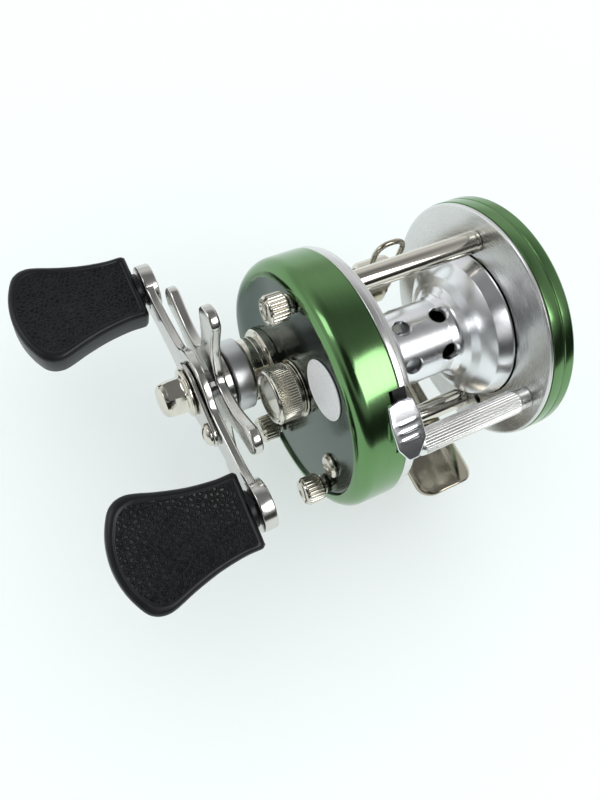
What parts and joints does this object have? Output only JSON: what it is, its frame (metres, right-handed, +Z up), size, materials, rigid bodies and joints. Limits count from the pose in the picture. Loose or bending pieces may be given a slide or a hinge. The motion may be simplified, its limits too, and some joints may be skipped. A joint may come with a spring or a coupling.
{
  "type": "baitcasting fishing reel",
  "caption": "Round baitcasting fishing reel with green side covers, star drag, level-wind line guide and a double paddle handle for the left hand.",
  "frame": {"origin": "middle of the foot's underside, where the reel rests on the rod's reel seat", "axes": "+Y forward along the rod, towards the line guide; +Z up, away from the rod; +X from the handle side to the palm side, along the spool's axis"},
  "size_m": [0.099, 0.0816, 0.0562],
  "materials": {
    "green_anodised": "gloss anodised",
    "satin_aluminium": "satin, machined",
    "bright_aluminium": "polished",
    "polished_nickel": "nickel plated, polished",
    "chrome": "mirror chrome",
    "brass": "machined",
    "steel": "machined",
    "carbon_washer": "woven, dry",
    "black_plastic": "pebbled, satin",
    "badge_plastic": "satin, blank"
  },
  "bodies": {
    "frame": {"gear_side_frame": "satin_aluminium", "palm_side_frame": "satin_aluminium", "top_pillar": "polished_nickel", "thumb_rest_pillar": "bright_aluminium", "front_pillar": "polished_nickel", "rear_pillar": "polished_nickel", "reel_foot": "polished_nickel", "foot_rivet_1": "steel", "foot_rivet_2": "steel", "foot_rivet_3": "steel", "foot_rivet_4": "steel", "gear_side_cover": "green_anodised", "blank_badge": "badge_plastic", "oil_port_cap": "chrome", "tension_barrel": "polished_nickel", "drive_sleeve": "polished_nickel", "palm_side_cover": "green_anodised", "palm_side_bearing": "steel", "brake_drum": "brass", "bridge_plate": "steel", "yoke_post_upper": "steel", "yoke_post_lower": "steel", "level_wind_tube": "polished_nickel", "guide_bar": "steel"},
    "handle": {"drive_shaft": "steel", "main_gear": "brass", "drag_washer": "carbon_washer", "drag_pressure_plate": "steel", "level_wind_gear": "black_plastic", "ratchet": "steel", "drag_collar": "satin_aluminium", "handle_arm": "polished_nickel", "handle_nut": "polished_nickel", "nut_retainer": "polished_nickel", "retainer_screw": "polished_nickel", "knob_spindle_1": "steel", "knob_spindle_2": "steel"},
    "star": {"star_drag": "polished_nickel"},
    "front_knob": {"knob_1": "black_plastic"},
    "rear_knob": {"knob_2": "black_plastic"},
    "spool": {"spool": "bright_aluminium", "spool_shaft": "steel", "brake_bar": "steel"},
    "brake_shoe_1": {"brake_block_1": "black_plastic"},
    "brake_shoe_2": {"brake_block_2": "black_plastic"},
    "clutch": {"clutch_button": "chrome", "clutch_cam": "steel"},
    "yoke": {"pinion_yoke": "steel"},
    "pinion": {"pinion": "brass"},
    "kick": {"kick_lever": "steel"},
    "dog": {"anti_reverse_dog": "steel"},
    "worm": {"worm_shaft": "steel", "worm_gear": "black_plastic"},
    "guide": {"line_guide": "polished_nickel", "line_eye": "chrome"},
    "pawl": {"pawl": "brass"},
    "cast_control": {"cast_control_cap": "polished_nickel"},
    "screw_top": {"thumb_screw_top": "polished_nickel"},
    "screw_rear": {"thumb_screw_rear": "polished_nickel"},
    "screw_front": {"thumb_screw_front": "polished_nickel"}
  },
  "joints": [
    {"name": "handle_spin", "type": "hinge", "parent": "frame", "child": "handle", "pos_m": [-0.0382, 0.0106, 0.01295], "axis": [1, 0, 0], "continuous": true},
    {"name": "star_turn", "type": "hinge", "parent": "handle", "child": "star", "pos_m": [-0.0432, 0.0106, 0.01295], "axis": [-1, 0, 0], "range_deg": [-270, 270]},
    {"name": "front_knob_spin", "type": "hinge", "parent": "handle", "child": "front_knob", "pos_m": [-0.0622, 0.03957, 0.00929], "axis": [1, 0, 0], "continuous": true},
    {"name": "rear_knob_spin", "type": "hinge", "parent": "handle", "child": "rear_knob", "pos_m": [-0.0622, -0.01837, 0.01661], "axis": [1, 0, 0], "continuous": true},
    {"name": "spool_spin", "type": "hinge", "parent": "frame", "child": "spool", "pos_m": [-0.00265, 0, 0.02095], "axis": [1, 0, 0], "continuous": true},
    {"name": "brake_1_slide", "type": "slide", "parent": "spool", "child": "brake_shoe_1", "axis": [0, 1, 0], "range_m": [0, 0.0022]},
    {"name": "brake_2_slide", "type": "slide", "parent": "spool", "child": "brake_shoe_2", "axis": [0, -1, 0], "range_m": [0, 0.0022]},
    {"name": "clutch_press", "type": "hinge", "parent": "frame", "child": "clutch", "pos_m": [-0.0212, 0, 0.02095], "axis": [1, 0, 0], "range_deg": [0, 5]},
    {"name": "yoke_slide", "type": "slide", "parent": "frame", "child": "yoke", "axis": [-1, 0, 0], "range_m": [0, 0.0012]},
    {"name": "pinion_spin", "type": "hinge", "parent": "yoke", "child": "pinion", "pos_m": [-0.0242, 0, 0.02095], "axis": [1, 0, 0], "continuous": true},
    {"name": "kick_tilt", "type": "hinge", "parent": "frame", "child": "kick", "pos_m": [-0.0232, -0.0015, 0.00745], "axis": [1, 0, 0], "range_deg": [0, 12]},
    {"name": "dog_tilt", "type": "hinge", "parent": "frame", "child": "dog", "pos_m": [-0.0232, 0.0186, 0.00645], "axis": [1, 0, 0], "range_deg": [-11, 0]},
    {"name": "worm_spin", "type": "hinge", "parent": "frame", "child": "worm", "pos_m": [-0.0027, 0.0194, 0.01895], "axis": [1, 0, 0], "continuous": true},
    {"name": "guide_slide", "type": "slide", "parent": "frame", "child": "guide", "axis": [1, 0, 0], "range_m": [-0.0124, 0.0065]},
    {"name": "pawl_turn", "type": "hinge", "parent": "guide", "child": "pawl", "pos_m": [0.0003, 0.0194, 0.01495], "axis": [0, 0, 1], "range_deg": [-30, 30]},
    {"name": "cast_control_turn", "type": "hinge", "parent": "frame", "child": "cast_control", "pos_m": [-0.0332, 0, 0.02095], "axis": [-1, 0, 0], "range_deg": [-180, 180]},
    {"name": "screw_top_turn", "type": "hinge", "parent": "frame", "child": "screw_top", "pos_m": [-0.0322, 0.009, 0.03975], "axis": [-1, 0, 0], "range_deg": [0, 1080]},
    {"name": "screw_rear_turn", "type": "hinge", "parent": "frame", "child": "screw_rear", "pos_m": [-0.0322, -0.0182, 0.00995], "axis": [-1, 0, 0], "range_deg": [0, 1080]},
    {"name": "screw_front_turn", "type": "hinge", "parent": "frame", "child": "screw_front", "pos_m": [-0.0322, 0.0005, 0.00135], "axis": [-1, 0, 0], "range_deg": [0, 1080]}
  ],
  "couplings": [
    {"joint": "spool_spin", "follows": "handle_spin", "ratio": -5},
    {"joint": "pinion_spin", "follows": "handle_spin", "ratio": -5},
    {"joint": "worm_spin", "follows": "handle_spin", "ratio": -1.2},
    {"joint": "yoke_slide", "follows": "clutch_press", "m_per_rad": 0.0137}
  ]
}
